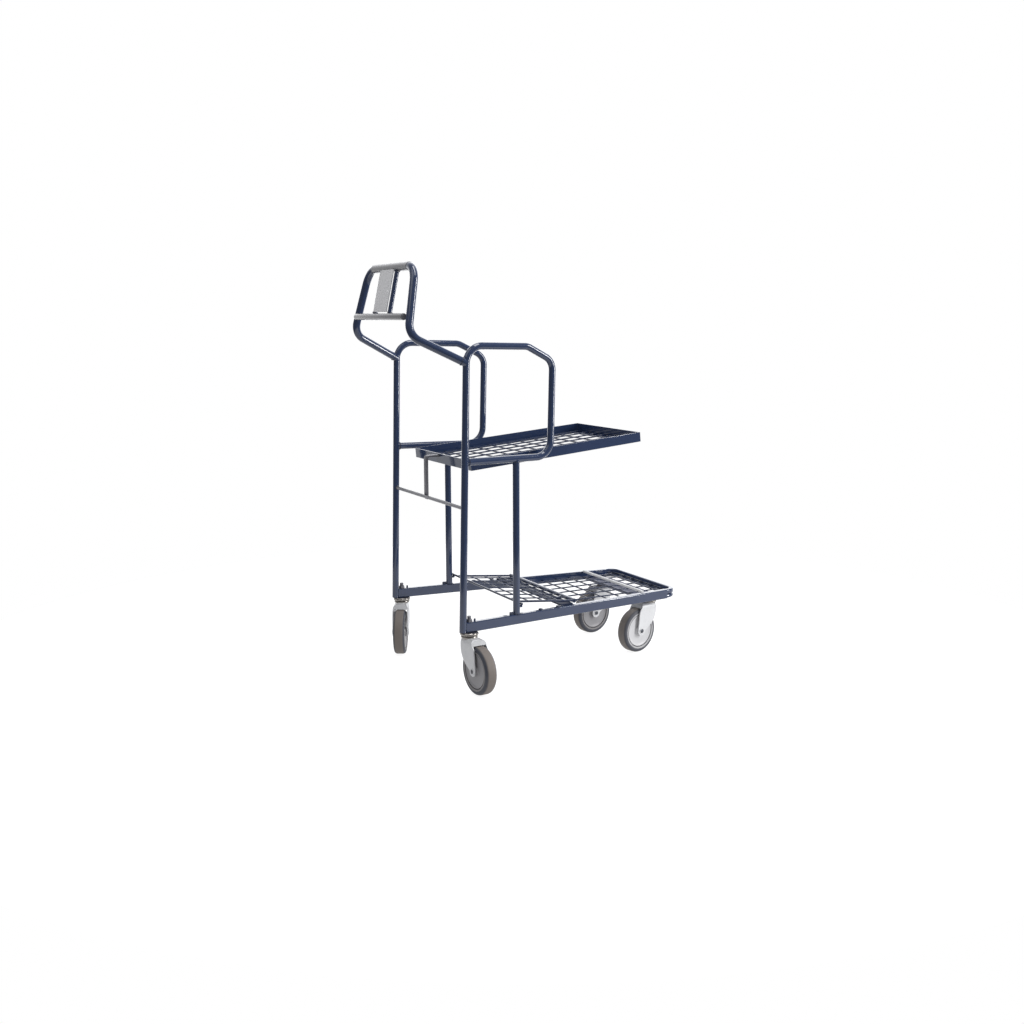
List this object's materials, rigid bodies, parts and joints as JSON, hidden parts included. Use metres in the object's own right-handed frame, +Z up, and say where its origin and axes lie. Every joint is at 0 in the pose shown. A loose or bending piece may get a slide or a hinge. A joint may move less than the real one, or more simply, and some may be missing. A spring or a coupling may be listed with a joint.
{
  "type": "bin trolley",
  "caption": "Nesting two-tier stock trolley of blue tube with a sloping wire-mesh shelf, a mesh deck with a lifting rear flap, a push handle and casters.",
  "frame": {"origin": "on the floor, on the trolley's centre plane, midway between its rearmost and foremost points", "axes": "+X forward, away from the push handle; +Y to the left; +Z up"},
  "size_m": [0.8449, 0.5768, 1.0851],
  "materials": {
    "navy_paint": "gloss",
    "zinc": "satin",
    "grey_sleeve": "satin",
    "tyre": "matte",
    "hub": "satin",
    "plate": "satin"
  },
  "bodies": {
    "frame": {"right_post": "navy_paint", "left_post": "navy_paint", "right_loop": "navy_paint", "left_loop": "navy_paint", "right_upright": "navy_paint", "left_upright": "navy_paint", "flap_studs": "navy_paint", "right_beam": "navy_paint", "left_beam": "navy_paint", "front_rim": "navy_paint", "front_bumper": "navy_paint", "hinge_band": "navy_paint", "hinge_pin": "zinc", "hinge_lugs": "navy_paint", "deck_grid": "navy_paint", "deck_bar": "zinc", "shelf_rim_right": "navy_paint", "shelf_rim_left": "navy_paint", "shelf_rim_rear": "navy_paint", "shelf_rim_front": "navy_paint", "shelf_grid": "navy_paint", "shelf_tabs": "navy_paint", "cross_rod": "zinc", "shelf_stay": "zinc", "handle_tube": "navy_paint", "top_sleeve": "grey_sleeve", "grip_bar": "grey_sleeve", "plate_bars": "navy_paint", "info_plate": "plate", "caster_plate": "zinc", "rear_races": "zinc", "rear_stems": "zinc", "rear_stem_nuts": "zinc", "front_races": "zinc", "front_stems": "zinc"},
    "flap": {"flap_sleeves": "navy_paint", "flap_rod": "navy_paint", "flap_wires": "navy_paint", "flap_grid": "navy_paint"},
    "right_rear_swivel": {"right_rear_fork": "zinc", "right_rear_axle": "zinc", "right_rear_spacer": "zinc"},
    "right_rear_wheel": {"right_rear_hub": "hub", "right_rear_tyre": "tyre"},
    "left_rear_swivel": {"left_rear_fork": "zinc", "left_rear_axle": "zinc", "left_rear_spacer": "zinc"},
    "left_rear_wheel": {"left_rear_hub": "hub", "left_rear_tyre": "tyre"},
    "right_front_swivel": {"right_front_fork": "zinc", "right_front_axle": "zinc", "right_front_spacer": "zinc"},
    "right_front_wheel": {"right_front_hub": "hub", "right_front_tyre": "tyre"},
    "left_front_swivel": {"left_front_fork": "zinc", "left_front_axle": "zinc", "left_front_spacer": "zinc"},
    "left_front_wheel": {"left_front_hub": "hub", "left_front_tyre": "tyre"}
  },
  "joints": [
    {"name": "flap_hinge", "type": "hinge", "parent": "frame", "child": "flap", "pos_m": [0.0642, 0, 0.187], "axis": [0, 1, 0], "range_deg": [0, 75]},
    {"name": "right_rear_swivel", "type": "hinge", "parent": "frame", "child": "right_rear_swivel", "pos_m": [-0.2728, -0.22, 0.139], "axis": [0, 0, 1], "continuous": true},
    {"name": "right_rear_spin", "type": "hinge", "parent": "right_rear_swivel", "child": "right_rear_wheel", "pos_m": [-0.26888, -0.26985, 0.0625], "axis": [0.9969, 0.0785, 0], "continuous": true},
    {"name": "left_rear_swivel", "type": "hinge", "parent": "frame", "child": "left_rear_swivel", "pos_m": [-0.2728, 0.22, 0.139], "axis": [0, 0, 1], "continuous": true},
    {"name": "left_rear_spin", "type": "hinge", "parent": "left_rear_swivel", "child": "left_rear_wheel", "pos_m": [-0.29704, 0.17627, 0.0625], "axis": [0.8746, -0.4848, 0], "continuous": true},
    {"name": "right_front_swivel", "type": "hinge", "parent": "frame", "child": "right_front_swivel", "pos_m": [0.3532, -0.119, 0.139], "axis": [0, 0, 1], "continuous": true},
    {"name": "right_front_spin", "type": "hinge", "parent": "right_front_swivel", "child": "right_front_wheel", "pos_m": [0.30429, -0.1294, 0.0625], "axis": [0.2079, -0.9781, 0], "continuous": true},
    {"name": "left_front_swivel", "type": "hinge", "parent": "frame", "child": "left_front_swivel", "pos_m": [0.3532, 0.119, 0.139], "axis": [0, 0, 1], "continuous": true},
    {"name": "left_front_spin", "type": "hinge", "parent": "left_front_swivel", "child": "left_front_wheel", "pos_m": [0.30382, 0.11118, 0.0625], "axis": [0.1564, -0.9877, 0], "continuous": true}
  ]
}
